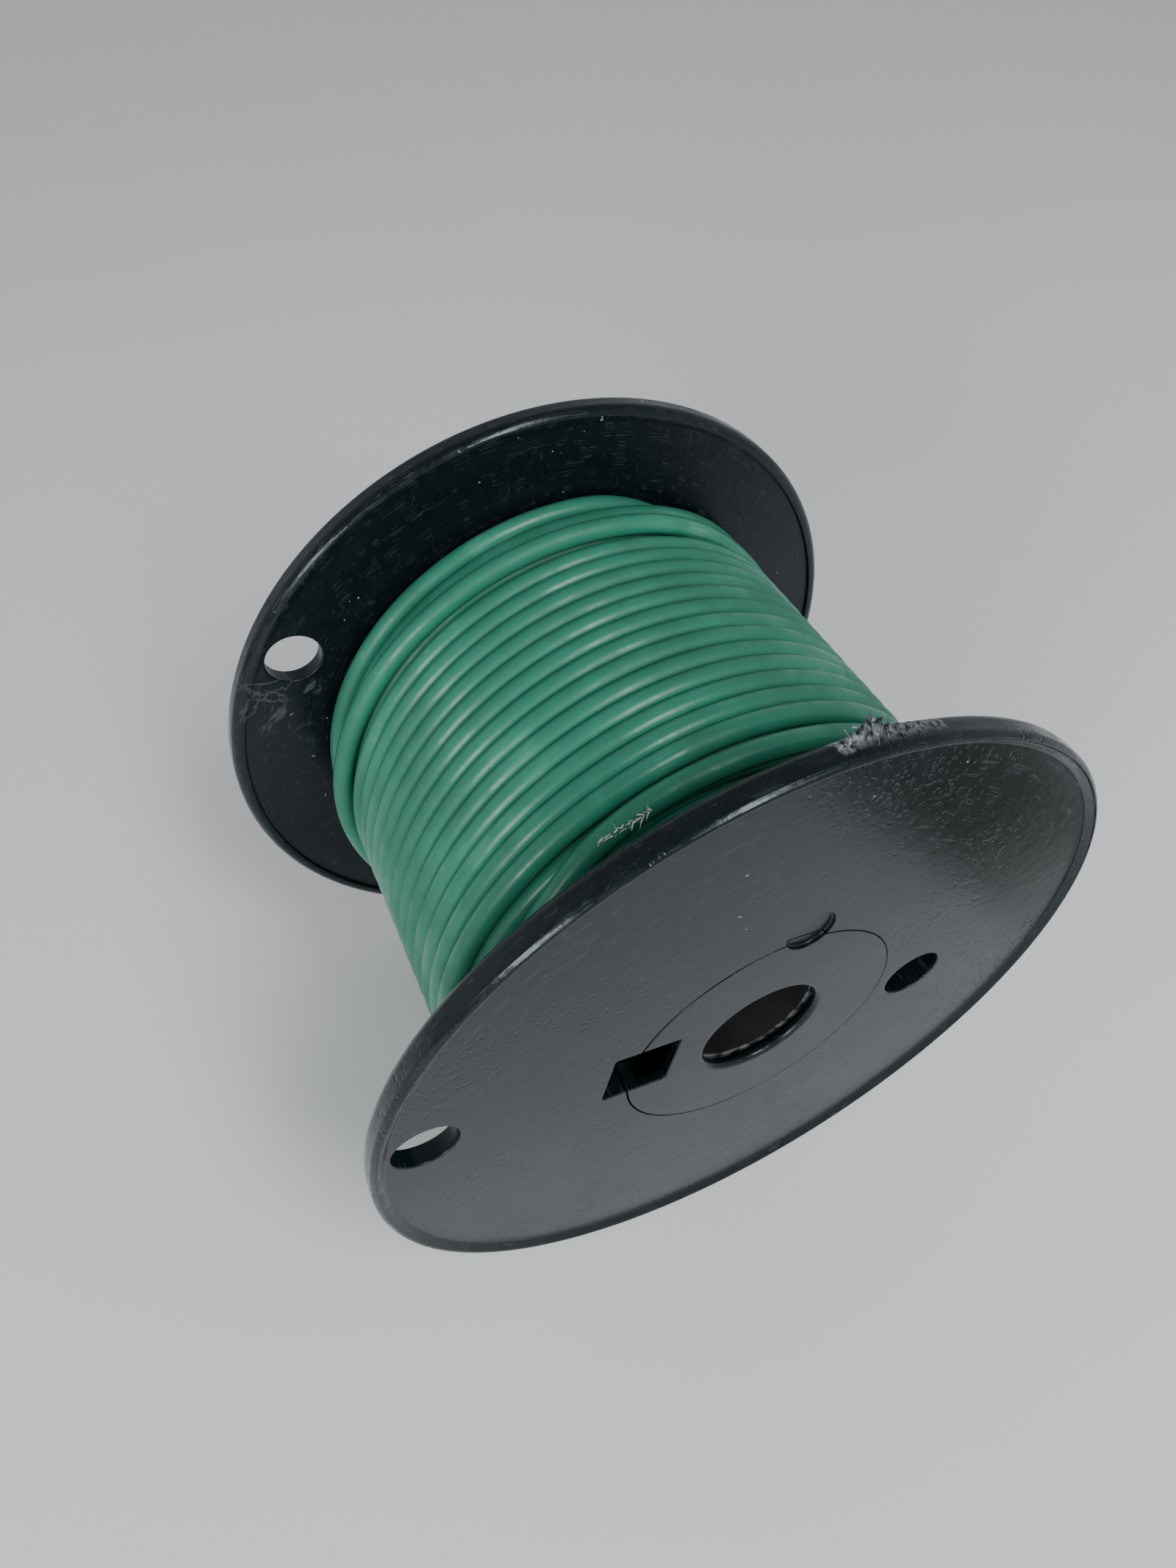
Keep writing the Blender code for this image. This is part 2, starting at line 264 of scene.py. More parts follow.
def add_node(tree, kind, inputs=None, **settings):
    made = tree.nodes.new(kind)
    for name, value in settings.items():
        setattr(made, name, value)
    for socket, value in (inputs or {}).items():
        if isinstance(value, bpy.types.NodeSocket):
            tree.links.new(value, made.inputs[socket])
        else:
            made.inputs[socket].default_value = value
    return made


def start_group(name, inputs, outputs):
    """A shader node group with named sockets: inputs are (name, kind, value) rows."""
    tree = bpy.data.node_groups.new(name, "ShaderNodeTree")
    for label, kind, value in inputs:
        socket = tree.interface.new_socket(label, in_out="INPUT", socket_type=kind)
        if value is not None:
            socket.default_value = value
    for label, kind in outputs:
        tree.interface.new_socket(label, in_out="OUTPUT", socket_type=kind)
    return tree, tree.nodes.new("NodeGroupInput"), tree.nodes.new("NodeGroupOutput")


def start_material(name):
    made = bpy.data.materials.new(name)
    made.use_nodes = True
    tree = made.node_tree
    return made, tree, tree.nodes["Principled BSDF"]


def math_node(tree, operation, *values, clamp=False):
    inputs = {k: value for k, value in enumerate(values)}
    return add_node(tree, "ShaderNodeMath", inputs, operation=operation,
                    use_clamp=clamp).outputs[0]


def mix_colours(tree, factor, first, second):
    made = add_node(tree, "ShaderNodeMix", {0: factor, 6: first, 7: second}, data_type="RGBA")
    return made.outputs[2]


def ramp(tree, value, low_end, high_end):
    """0 below low_end and 1 above high_end, smooth between them."""
    return add_node(tree, "ShaderNodeMapRange",
                    {"Value": value, "From Min": low_end, "From Max": high_end},
                    interpolation_type="SMOOTHSTEP").outputs[0]


def build_speck_group():
    """Dust: a few cells of a fine pattern each hold one bright speck of random size."""
    tree, source, result = start_group(
        "dust_specks", [("Coordinates", "NodeSocketVector", None),
                        ("Scale", "NodeSocketFloat", 900.0),
                        ("Share", "NodeSocketFloat", 0.03)],
        [("Mask", "NodeSocketFloat")])
    bent = add_node(tree, "ShaderNodeTexNoise", {"Vector": source.outputs[0], "Scale": 2600.0})
    moved = add_node(tree, "ShaderNodeVectorMath",
                     {0: bent.outputs["Color"], 3: 0.0009}, operation="SCALE").outputs[0]
    place = add_node(tree, "ShaderNodeVectorMath",
                     {0: source.outputs[0], 1: moved}, operation="ADD").outputs[0]
    cells = add_node(tree, "ShaderNodeTexVoronoi",
                     {"Vector": place, "Scale": source.outputs[1]})
    chance = add_node(tree, "ShaderNodeSeparateColor", {0: cells.outputs["Color"]})
    chosen = math_node(tree, "LESS_THAN", chance.outputs[0], source.outputs[2])
    size = math_node(tree, "MULTIPLY_ADD", chance.outputs[1], 0.22, 0.05)
    inside = math_node(tree, "LESS_THAN", cells.outputs["Distance"], size)
    tree.links.new(math_node(tree, "MULTIPLY", chosen, inside), result.inputs[0])
    return tree


def build_scratch_group():
    """Scratches: thin level lines of a noise stretched along the first coordinate, broken up
    by a coarser noise."""
    tree, source, result = start_group(
        "long_scratches", [("Coordinates", "NodeSocketVector", None),
                           ("Stretch", "NodeSocketVector", (60.0, 2200.0, 2200.0)),
                           ("Width", "NodeSocketFloat", 0.012),
                           ("Cover", "NodeSocketFloat", 0.5)],
        [("Mask", "NodeSocketFloat")])
    place = add_node(tree, "ShaderNodeVectorMath",
                     {0: source.outputs[0], 1: source.outputs[1]}, operation="MULTIPLY")
    lines = add_node(tree, "ShaderNodeTexNoise",
                     {"Vector": place.outputs[0], "Scale": 1.0, "Detail": 2.0})
    away = math_node(tree, "ABSOLUTE",
                     math_node(tree, "SUBTRACT", lines.outputs["Fac"], 0.5))
    thin = math_node(tree, "LESS_THAN", away, source.outputs[2])
    broken = add_node(tree, "ShaderNodeTexNoise",
                      {"Vector": source.outputs[0], "Scale": 420.0, "Detail": 3.0})
    kept = math_node(tree, "LESS_THAN", broken.outputs["Fac"], source.outputs[3])
    tree.links.new(math_node(tree, "MULTIPLY", thin, kept), result.inputs[0])
    return tree


def build_peel_group():
    """Skin of moulded plastic: a soft dimpled noise, with scattered pits pressed into it."""
    tree, source, result = start_group(
        "moulded_skin", [("Coordinates", "NodeSocketVector", None),
                         ("Peel", "NodeSocketFloat", 1.0), ("Pits", "NodeSocketFloat", 1.0)],
        [("Height", "NodeSocketFloat")])
    coarse = add_node(tree, "ShaderNodeTexNoise",
                      {"Vector": source.outputs[0], "Scale": 800.0, "Detail": 2.0,
                       "Roughness": 0.5})
    cells = add_node(tree, "ShaderNodeTexVoronoi",
                     {"Vector": source.outputs[0], "Scale": 1150.0}, feature="SMOOTH_F1")
    patch = add_node(tree, "ShaderNodeTexNoise", {"Vector": source.outputs[0], "Scale": 70.0})
    pit = math_node(tree, "MULTIPLY", ramp(tree, cells.outputs["Distance"], 0.30, 0.14),
                    ramp(tree, patch.outputs["Fac"], 0.46, 0.60))
    depth = math_node(tree, "MULTIPLY", pit, source.outputs[2])
    swell = math_node(tree, "MULTIPLY", coarse.outputs["Fac"], source.outputs[1])
    tree.links.new(math_node(tree, "SUBTRACT", swell, depth), result.inputs[0])
    return tree


SPECKS = build_speck_group()
SCRATCHES = build_scratch_group()
PEEL = build_peel_group()


def use_group(tree, group, **inputs):
    made = tree.nodes.new("ShaderNodeGroup")
    made.node_tree = group
    for label, value in inputs.items():
        if isinstance(value, bpy.types.NodeSocket):
            tree.links.new(value, made.inputs[label])
        else:
            made.inputs[label].default_value = value
    return made.outputs[0]


def black_plastic(name, pits, dust, torn=False, stain=None):
    """Glossy black moulding: grained skin with pits, scratches that run round it, a glossier
    bead with duller streaks, dust and, where asked, a white tear or a branching stain round a
    place (x, y, z)."""
    made, tree, shader = start_material(name)
    shader.inputs["IOR"].default_value = 1.52
    shader.inputs["Specular IOR Level"].default_value = 0.33
    shader.inputs["Specular Tint"].default_value = (0.86, 0.96, 1.0, 1.0)
    where = add_node(tree, "ShaderNodeTexCoord")
    body, surface = where.outputs["Object"], where.outputs["UV"]
    blotch = add_node(tree, "ShaderNodeTexNoise",
                      {"Vector": body, "Scale": 60.0, "Detail": 5.0, "Roughness": 0.6})
    rounds = use_group(tree, SCRATCHES, Coordinates=surface, Width=0.010, Cover=0.47)
    nicks = use_group(tree, SCRATCHES, Coordinates=body, Stretch=(900.0, 900.0, 70.0),
                      Width=0.004, Cover=0.43)
    specks = use_group(tree, SPECKS, Coordinates=body, Scale=850.0, Share=dust)
    wear = math_node(tree, "MAXIMUM", math_node(tree, "MULTIPLY", rounds, 0.55),
                     math_node(tree, "MULTIPLY", nicks, 0.35))
    colour = mix_colours(tree, wear, BLACK, WORN_BLACK)
    colour = mix_colours(tree, specks, colour, (0.30, 0.31, 0.32, 1.0))
    spot = add_node(tree, "ShaderNodeSeparateXYZ", {0: body})
    above = math_node(tree, "SUBTRACT", spot.outputs[2], AXIS_HEIGHT)
    radius = math_node(tree, "SQRT", math_node(
        tree, "ADD", math_node(tree, "MULTIPLY", spot.outputs[0], spot.outputs[0]),
        math_node(tree, "MULTIPLY", above, above)))
    bead = ramp(tree, radius, BEAD_FOOT, BEAD_FOOT + 0.5 * MM)
    streak = use_group(tree, SCRATCHES, Coordinates=surface, Stretch=(110.0, 2600.0, 2600.0),
                       Width=0.05, Cover=0.56)
    rough = math_node(tree, "MULTIPLY_ADD", blotch.outputs["Fac"], 0.16, 0.20)
    rough = math_node(tree, "MULTIPLY_ADD", bead, -0.13, rough)
    rough = math_node(tree, "MULTIPLY_ADD", math_node(tree, "MULTIPLY", bead, streak), 0.16,
                      rough)
    rough = math_node(tree, "MULTIPLY_ADD", wear, 0.25, rough)
    height = use_group(tree, PEEL, Coordinates=body, Peel=1.0, Pits=pits)
    height = math_node(tree, "MULTIPLY_ADD", wear, -0.25, height)
    if stain:
        away = add_node(tree, "ShaderNodeVectorMath", {0: body, 1: stain},
                        operation="DISTANCE").outputs["Value"]
        veins = add_node(tree, "ShaderNodeTexNoise",
                         {"Vector": body, "Scale": 130.0, "Detail": 6.0, "Distortion": 1.2})
        thread = math_node(tree, "SUBTRACT", veins.outputs["Fac"], 0.53)
        line = ramp(tree, math_node(tree, "ABSOLUTE", thread), 0.035, 0.0)
        mark = math_node(tree, "MULTIPLY", line, ramp(tree, away, 8.5 * MM, 4.0 * MM))
        colour = mix_colours(tree, math_node(tree, "MULTIPLY", mark, 0.95), colour,
                             (0.055, 0.060, 0.064, 1.0))
        rough = math_node(tree, "MULTIPLY_ADD", mark, 0.3, rough)
    if torn:
        mask = add_node(tree, "ShaderNodeAttribute", attribute_name="torn").outputs["Fac"]
        fibres = add_node(tree, "ShaderNodeTexNoise",
                          {"Vector": body, "Scale": 1500.0, "Detail": 4.0})
        white = math_node(tree, "MULTIPLY", mask, ramp(tree, fibres.outputs["Fac"], 0.36, 0.6))
        colour = mix_colours(tree, white, colour, TORN_WHITE)
        rough = math_node(tree, "MAXIMUM", rough, math_node(tree, "MULTIPLY", mask, 0.62))
        height = math_node(tree, "MULTIPLY_ADD", mask, fibres.outputs["Fac"], height)
    bump = add_node(tree, "ShaderNodeBump", {"Height": height, "Strength": 0.35,
                                             "Distance": 0.00009})
    tree.links.new(colour, shader.inputs["Base Color"])
    tree.links.new(rough, shader.inputs["Roughness"])
    tree.links.new(bump.outputs[0], shader.inputs["Normal"])
    return made


def flange_outline():
    """Section of a flange: bore, face, rolled bead, inner face and boss."""
    return rounded_outline([
        (FLANGE_BORE, FACE_DEPTH, 0.10 * MM),
        (BEAD_FOOT, FACE_DEPTH, 0.3 * MM),
        (BEAD_CREST, 0, 0.45 * MM),
        (FLANGE_RADIUS, 0.75 * MM, 0.8 * MM),
        (FLANGE_RADIUS, BEAD_WIDTH, 1.3 * MM),
        (BEAD_FOOT, BEAD_WIDTH, 0.2 * MM),
        (BEAD_FOOT, PLATE_BACK, 0.12 * MM),
        (BOSS_RADIUS, PLATE_BACK, 0.2 * MM),
        (BOSS_RADIUS, BOSS_BACK, 0.3 * MM),
        (FLANGE_BORE, BOSS_BACK, 0.2 * MM)])


def build_flange(label, side, angle, angles, material):
    mesh = grid_mesh(label + "_flange_moulding", [turned(flange_outline(), side, angles)],
                     closed=True)
    piece = add_piece(label + "_flange_moulding", mesh)
    tools = hub_tools(label, side, angle)
    tools.append(through_tool(label + "_rim_hole", RIM_HOLE_RADIUS, RIM_HOLE_RADIUS,
                              RIM_HOLE_CENTRE, angle, side, PLATE_BACK))
    tools.append(through_tool(label + "_drive_hole", DRIVE_HOLE_RADIUS, DRIVE_HOLE_RADIUS,
                              DRIVE_HOLE_CENTRE, angle + math.pi, side, BOSS_BACK))
    bore(piece, tools)
    if label == "near":
        tear_rim(piece.data)
    finish_piece(piece, material, "black_plastic", label + "_flange")


even = np.linspace(0, 2 * math.pi, 360, endpoint=False)
close = np.linspace(TEAR[0] - 0.02, TEAR[1] + 0.02, 150)
near_angles = np.sort(np.concatenate([even[(even < close[0]) | (even > close[-1])], close]))
stain_at = (-41 * MM, HALF_LENGTH - PLATE_BACK, AXIS_HEIGHT + 17 * MM)
build_flange("near", -1, NEAR_DIAMETER_ANGLE, near_angles,
             black_plastic("near_flange_plastic", 1.5, 0.006, torn=True))
build_flange("far", 1, FAR_DIAMETER_ANGLE, even,
             black_plastic("far_flange_plastic", 0.35, 0.03, stain=stain_at))

# --- Hub caps ------------------------------------------------------------------------------
# A disc fills the middle of each flange: it plugs on to the barrel with its skirt, and its
# collar holds the arbor tube.  The same black plastic, flush with the flange's face.
CAP_RADIUS = 18.90 * MM
CAP_SETTLED = np.array((0.085, 0, -0.085)) * MM    # it sits a hair low and right in its bore
ARBOR_HOLE = 8.2 * MM
CAP_BACK = FACE_DEPTH + 1.1 * MM
SKIRT_INNER = 17.3 * MM
SKIRT_END = BARREL_END - 0.3 * MM
COLLAR_INNER, COLLAR_OUTER, COLLAR_END = 10.1 * MM, 11.2 * MM, FACE_DEPTH + 5.2 * MM

cap_plastic = black_plastic("hub_cap_plastic", 0.5, 0.004)
cap_outline = rounded_outline([
    (ARBOR_HOLE, FACE_DEPTH, 0.7 * MM),
    (CAP_RADIUS, FACE_DEPTH, 0.10 * MM),
    (CAP_RADIUS, SKIRT_END, 0.2 * MM),
    (SKIRT_INNER, SKIRT_END, 0.2 * MM),
    (SKIRT_INNER, CAP_BACK, 0.2 * MM),
    (COLLAR_OUTER, CAP_BACK, 0.15 * MM),
    (COLLAR_OUTER, COLLAR_END, 0.2 * MM),
    (COLLAR_INNER, COLLAR_END, 0.2 * MM),
    (COLLAR_INNER, CAP_BACK, 0.1 * MM),
    (ARBOR_HOLE, CAP_BACK, 0.1 * MM)])
for label, side, angle in (("near", -1, NEAR_DIAMETER_ANGLE), ("far", 1, FAR_DIAMETER_ANGLE)):
    cap = add_piece(label + "_hub_moulding",
                    grid_mesh(label + "_hub_moulding",
                              [turned(cap_outline, side, even) + CAP_SETTLED], closed=True))
    bore(cap, hub_tools(label + "_cap", side, angle))
    finish_piece(cap, cap_plastic, "black_plastic", label + "_hub_cap")

# --- Barrel and arbor tube -----------------------------------------------------------------
# The barrel is the plain drum that the wire is wound on.  The arbor tube runs through it from
# cap to cap: a thin tube cut to length, which left a ragged edge at both ends; the pale band
# along those ends is a painted highlight.
BARREL_INNER, BARREL_OUTER = 15.6 * MM, 18.9 * MM
TUBE_INNER, TUBE_OUTER, TUBE_END = 8.6 * MM, 9.8 * MM, 2.8 * MM


def straight_tube(name, inner, outer, end, ragged):
    """A tube turned from a thin rectangle, whose ends wander by ragged along the axis: the
    shift is a sum of sines of the angle, and it fades out away from the two ends."""
    far_end = 2 * HALF_LENGTH - end
    outline = rounded_outline([(inner, end, 0.12 * MM), (outer, end, 0.3 * MM),
                               (outer, far_end, 0.3 * MM), (inner, far_end, 0.12 * MM)])
    points = turned(outline, -1, even)
    wander = ragged * (np.sin(17 * even) + 0.7 * np.sin(41 * even + 1) + 0.5 * np.sin(97 * even))
    reach = HALF_LENGTH - end
    at_end = np.clip((np.abs(points[..., 1]) - reach + MM) / MM, 0, 1)
    points[..., 1] -= np.sign(points[..., 1]) * at_end * (ragged + wander[:, None] / 2)
    return add_piece(name, grid_mesh(name, [points], closed=True))


def tube_plastic():
    """Dull black tube with a painted highlight: pale along its cut ends, where the mask grows
    within 0.3 mm of them.
    """
    made, tree, shader = start_material("arbor_tube_plastic")
    where = add_node(tree, "ShaderNodeTexCoord")
    noise = add_node(tree, "ShaderNodeTexNoise",
                     {"Vector": where.outputs["Object"], "Scale": 700.0, "Detail": 4.0})
    across = add_node(tree, "ShaderNodeSeparateXYZ", {0: where.outputs["Object"]}).outputs[1]
    reach = HALF_LENGTH - TUBE_END
    end = ramp(tree, math_node(tree, "ABSOLUTE", across), reach - 0.45 * MM, reach - 0.1 * MM)
    # Painted highlight: the pale grey band along each ragged end of the tube.
    painted_edge_highlight = math_node(tree, "MULTIPLY", end, ramp(tree, noise.outputs["Fac"], 0.38, 0.6))
    colour = mix_colours(tree, painted_edge_highlight, (0.012, 0.013, 0.015, 1.0), (0.16, 0.17, 0.18, 1.0))
    rough = math_node(tree, "MULTIPLY_ADD", noise.outputs["Fac"], 0.2, 0.36)
    bump = add_node(tree, "ShaderNodeBump", {"Height": noise.outputs["Fac"], "Strength": 0.4,
                                             "Distance": 0.0001})
    tree.links.new(colour, shader.inputs["Base Color"])
    tree.links.new(rough, shader.inputs["Roughness"])
    tree.links.new(bump.outputs[0], shader.inputs["Normal"])
    return made


barrel = straight_tube("barrel_drum", BARREL_INNER, BARREL_OUTER, BARREL_END, 0)
finish_piece(barrel, black_plastic("barrel_plastic", 0.3, 0.01), "black_plastic", "barrel")
arbor_tube = straight_tube("arbor_liner", TUBE_INNER, TUBE_OUTER, TUBE_END, 0.06 * MM)
finish_piece(arbor_tube, tube_plastic(), "tube_plastic", "arbor_tube")

# --- Winding -------------------------------------------------------------------------------
# One length of stranded wire in soft green insulation, wound in layers.  The first five lie
# between the bosses; the last two stop short of the near flange and leave a valley there.
WIRE_RADIUS = 1.46 * MM
LAYER_STEP = 1.8 * WIRE_RADIUS
FIRST_LAYER = BARREL_OUTER + WIRE_RADIUS + 0.1 * MM
GREEN = (0.027, 0.228, 0.143, 1.0)
PITCH = 2.933 * MM


def strand(turn_angle, radius, across, sides):
    """Skin of the wire round its centre line (radius cos, across, radius sin): each section
    is a circle spanned by the outward radius, made square to the run, and their cross
    product."""
    outward = np.stack([np.cos(turn_angle), np.zeros_like(turn_angle), np.sin(turn_angle)], 1)
    line = radius[:, None] * outward
    line[:, 1] = across
    line[:, 2] += AXIS_HEIGHT
    run = np.gradient(line, axis=0)
    run /= np.linalg.norm(run, axis=1, keepdims=True)
    first = outward - run * (outward * run).sum(1, keepdims=True)
    first /= np.linalg.norm(first, axis=1, keepdims=True)
    second = np.cross(run, first)
    t = 2 * math.pi * np.arange(sides) / sides
    return line[:, None] + WIRE_RADIUS * (np.cos(t)[:, None] * first[:, None]
                                          + np.sin(t)[:, None] * second[:, None])


def wander(angle, seed):
    """Small unevenness of the lay: three sines of the running angle with odd wavelengths."""
    return (0.5 * np.sin(0.61 * angle + seed) + 0.3 * np.sin(1.37 * angle + 2.1 * seed)
            + 0.2 * np.sin(3.3 * angle + 0.7 * seed))


def plain_layer(number, start, end, direction, per_turn, sides):
    """A close helix from start to end across the spool, going round one way or the other."""
    turns = abs(end - start) / PITCH
    angle = np.linspace(0, 2 * math.pi * turns, int(per_turn * turns))
    across = np.linspace(start, end, len(angle))
    radius = FIRST_LAYER + (number - 1) * LAYER_STEP + 0.03 * MM * wander(angle, number)
    return strand(direction * angle - math.pi / 2, radius, across, sides)


def insulation(name):
    """Soft satin vinyl: the green drifts along the wire, faint drawing lines run along it,
    and it carries lighter rubbed patches, partly real rubbing and partly a painted sheen, and
    white flecks."""
    made, tree, shader = start_material(name)
    shader.inputs["Specular IOR Level"].default_value = 0.45
    where = add_node(tree, "ShaderNodeTexCoord")
    body, surface = where.outputs["Object"], where.outputs["UV"]
    drift = add_node(tree, "ShaderNodeTexNoise",
                     {"Vector": body, "Scale": 75.0, "Detail": 4.0, "Roughness": 0.6})
    place = add_node(tree, "ShaderNodeVectorMath", {0: surface, 1: (160.0, 3200.0, 1.0)},
                     operation="MULTIPLY")
    lines = add_node(tree, "ShaderNodeTexNoise",
                     {"Vector": place.outputs[0], "Scale": 1.0, "Detail": 3.0})
    grain = add_node(tree, "ShaderNodeTexNoise",
                     {"Vector": body, "Scale": 1700.0, "Detail": 2.0})
    flecks = use_group(tree, SPECKS, Coordinates=body, Scale=420.0, Share=0.0035)
    # Lighter green streaky patches: partly rubbed wear, partly a painted sheen standing in for
    # highlight patches on the turns.
    rubbed_and_painted_sheen = math_node(tree, "MULTIPLY", ramp(tree, drift.outputs["Fac"], 0.56, 0.72),
                       ramp(tree, lines.outputs["Fac"], 0.42, 0.62))
    colour = mix_colours(tree, ramp(tree, drift.outputs["Fac"], 0.3, 0.7),
                         (0.015, 0.160, 0.097, 1.0), GREEN)
    colour = mix_colours(tree, math_node(tree, "MULTIPLY", rubbed_and_painted_sheen, 0.42), colour,
                         (0.13, 0.36, 0.27, 1.0))
    colour = mix_colours(tree, flecks, colour, (0.60, 0.68, 0.62, 1.0))
    rough = math_node(tree, "MULTIPLY_ADD", grain.outputs["Fac"], 0.16, 0.23)
    rough = math_node(tree, "MULTIPLY_ADD", ramp(tree, drift.outputs["Fac"], 0.56, 0.44), 0.22,
                      rough)
    height = math_node(tree, "MULTIPLY_ADD", lines.outputs["Fac"], 0.6, grain.outputs["Fac"])
    bump = add_node(tree, "ShaderNodeBump", {"Height": height, "Strength": 0.28,
                                             "Distance": 0.00006})
    tree.links.new(colour, shader.inputs["Base Color"])
    tree.links.new(rough, shader.inputs["Roughness"])
    tree.links.new(bump.outputs[0], shader.inputs["Normal"])
    return made


green_vinyl = insulation("green_vinyl")
for number in range(1, 6):
    reach = HALF_LENGTH - BOSS_BACK - WIRE_RADIUS - 0.1 * MM
    way = 1 if number % 2 else -1
    skin = plain_layer(number, -way * reach, way * reach, -way, 60, 10)
    layer = add_piece("wound_layer_%d" % number,
                      grid_mesh("wound_layer_%d" % number, [skin], closed=False))
    finish_piece(layer, green_vinyl, "green_insulation", "wire_layer_%d" % number)

# --- Outer turns ---------------------------------------------------------------------------
# The top layer starts at the far flange, where a turn has been squeezed up on top of the
# others, and runs in close turns to the valley, where the last ones slip down and cross.
# Rows are (running angle in degrees, across in mm, radius in mm); 105 is near the top.
SQUEEZED_END = [(-90, 30.2, 33.7), (30, 29.9, 33.7), (55, 29.4, 34.2), (65, 29.3, 35.3),
                (76, 29.4, 36.5), (105, 29.45, 36.55), (165, 29.8, 36.4), (280, 30.1, 36.25),
                (390, 29.6, 36.23), (425, 27.2, 36.1), (445, 26.2, 36.0), (520, 26.1, 36.0),
                (640, 26.6, 36.2), (745, 26.2, 36.2), (785, 23.3, 35.4), (805, 22.9, 35.15),
                (880, 22.8, 35.15), (990, 23.0, 36.1), (1100, 22.8, 36.23), (1120, 22.7, 36.4),
                (1135, 22.4, 37.3), (1150, 22.2, 37.95), (1185, 22.2, 38.0),
                (1260, 22.1, 37.95), (1330, 21.2, 37.5), (1400, 19.95, 36.4),
                (1440, 19.70, 36.23)]
CLOSE_TURNS = [(1440 + 45 * k, 19.70 - 2.933 * k / 8, 36.23) for k in range(1, 99)]
VALLEY_END = [(5940, -17.0, 36.23), (6060, -18.1, 36.2), (6180, -19.3, 36.0),
              (6225, -19.6, 35.75), (6238, -20.1, 35.4), (6255, -21.8, 34.2),
              (6275, -23.2, 33.7), (6300, -24.0, 33.6), (6400, -24.6, 33.6),
              (6500, -23.4, 33.5), (6545, -22.2, 33.4), (6585, -22.3, 33.4),
              (6612, -24.9, 33.5), (6640, -26.4, 33.6), (6700, -27.2, 33.6),
              (6850, -27.6, 33.6), (7000, -28.6, 33.6), (7060, -28.4, 34.2),
              (7095, -26.6, 35.9), (7115, -25.4, 36.75), (7193, -24.8, 36.75)]
ROUTE = np.array(SQUEEZED_END + CLOSE_TURNS + VALLEY_END)
LAY_TILT = 0.95                     # the outer turns lean by this much across, in mm
LEAN_SHARE = ((600, 990, 1440, 1800, 5900, 6300), (1, 0.4, 0.4, 1, 1, 0))
PLATE_CLEAR = (HALF_LENGTH - PLATE_BACK - WIRE_RADIUS) / MM - 0.03


def fullness(angle):
    """The winding is a little fuller towards the lower right: a cosine of the angle, in mm."""
    return 0.05 + 0.6 * np.cos(angle - math.radians(20))


def outer_turns(start, end, sides=24):
    """A stretch of the route between two running angles, at two degrees a section.  The rows
    are joined by straight lines, then rounded by a cosine-weighted mean over 22 degrees."""
    window = np.hanning(13)[1:-1]
    margin = 2.0 * (len(window) // 2)
    fine = np.arange(start - margin, end + margin + 1, 2.0)
    across, radius = (np.convolve(np.interp(fine, ROUTE[:, 0], ROUTE[:, k]),
                                  window / window.sum(), "valid") for k in (1, 2))
    angle = np.radians(np.arange(start, end + 1, 2.0))
    lean = LAY_TILT * np.interp(np.degrees(angle), *LEAN_SHARE)
    across = across + 0.05 * wander(angle, 3) - lean * np.sin(angle - math.radians(105))
    across = np.minimum(across, PLATE_CLEAR)
    radius = radius + 0.035 * wander(angle, 8) + fullness(angle)
    return strand(angle, radius * MM, across * MM, sides)


def add_turns(name, skins, node):
    piece = add_piece(name, grid_mesh(name, skins, closed=False))
    finish_piece(piece, green_vinyl, "green_insulation", node)


def sixth_layer():
    """The layer under the top one: a helix towards the far flange whose first turn shifts
    into the valley and up a little, by a bell-shaped bump round 145 degrees."""
    angle = np.radians(np.arange(-60, 105 + 360 * 16.6, 3.0))
    across = -18.35 * MM + PITCH * (angle - math.radians(105)) / (2 * math.pi)
    bump = np.exp(-((angle - math.radians(148)) / math.radians(24)) ** 2)
    radius = FIRST_LAYER + 5 * LAYER_STEP + (0.5 * bump - 0.15 + fullness(angle)) * MM
    return strand(angle, radius, across - 0.8 * MM * bump, 16)


add_turns("wound_layer_6", [sixth_layer()], "wire_layer_6")
add_turns("wound_layer_7", [outer_turns(-90, 990), outer_turns(1440, 5986)], "wire_layer_7")
add_turns("raised_turn", [outer_turns(990, 1440)], "wire_raised_turn")
add_turns("loose_turn_1", [outer_turns(5986, 6346)], "wire_loose_turn_1")
add_turns("loose_turn_2", [outer_turns(6346, 6706)], "wire_loose_turn_2")
add_turns("loose_turn_3", [outer_turns(6706, 7066)], "wire_loose_turn_3")
add_turns("wire_end", [outer_turns(7066, 7192)], "wire_tail")

# --- Bare end of the wire ------------------------------------------------------------------
# Nineteen fine copper strands twisted together, which stand a few millimetres out of the cut
# insulation.
STRAND_RADIUS = 0.19 * MM
BARE_LENGTH = 5.0 * MM


def copper():
    made, tree, shader = start_material("copper_strand")
    where = add_node(tree, "ShaderNodeTexCoord")
    noise = add_node(tree, "ShaderNodeTexNoise",
                     {"Vector": where.outputs["Object"], "Scale": 1400.0, "Detail": 4.0})
    colour = mix_colours(tree, noise.outputs["Fac"], (0.58, 0.26, 0.14, 1.0),
                         (0.90, 0.50, 0.32, 1.0))
    shader.inputs["Metallic"].default_value = 1.0
    tree.links.new(colour, shader.inputs["Base Color"])
    tree.links.new(math_node(tree, "MULTIPLY_ADD", noise.outputs["Fac"], 0.25, 0.18),
                   shader.inputs["Roughness"])
    return made


